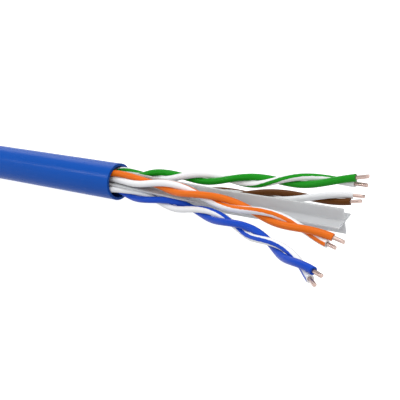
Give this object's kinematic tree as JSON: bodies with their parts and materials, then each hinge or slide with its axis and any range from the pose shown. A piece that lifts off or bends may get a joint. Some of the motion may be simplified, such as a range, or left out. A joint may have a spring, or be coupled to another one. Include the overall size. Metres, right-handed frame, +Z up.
{
  "type": "stripped network cable end",
  "caption": "Round jacketed data cable end, stripped so that its colour-coded twisted wire pairs fan out around a cross-shaped separator, with bare copper tips.",
  "frame": {"origin": "centre of the rear cut, on the cable's own axis", "axes": "+X along the cable towards the stripped end, +Z up from the table it lies on, which the jacket and the tip of the blue pair touch at z = -3.2 mm; the blue pair spreads towards -Y and the brown pair towards +Y"},
  "size_m": [0.0863, 0.0295, 0.0099],
  "materials": {
    "jacket": "satin, extruded PVC",
    "separator": "milky, slightly translucent polyethylene",
    "orange_insulation": "smooth, semi-gloss",
    "white_orange_insulation": "smooth, semi-gloss, one orange stripe",
    "blue_insulation": "smooth, semi-gloss",
    "white_blue_insulation": "smooth, semi-gloss, one blue stripe",
    "brown_insulation": "smooth, semi-gloss",
    "white_brown_insulation": "smooth, semi-gloss, one brown stripe",
    "green_insulation": "smooth, semi-gloss",
    "white_green_insulation": "smooth, semi-gloss, one green stripe",
    "copper": "bright drawn bare copper, cut square"
  },
  "bodies": {
    "root": {"jacket": "jacket", "cross_separator": "separator", "insulation_orange": "orange_insulation", "insulation_white_orange": "white_orange_insulation", "insulation_blue": "blue_insulation", "insulation_white_blue": "white_blue_insulation", "insulation_brown": "brown_insulation", "insulation_white_brown": "white_brown_insulation", "insulation_green": "green_insulation", "insulation_white_green": "white_green_insulation", "copper_orange": "copper", "copper_white_orange": "copper", "copper_blue": "copper", "copper_white_blue": "copper", "copper_brown": "copper", "copper_white_brown": "copper", "copper_green": "copper", "copper_white_green": "copper"}
  },
  "joints": []
}
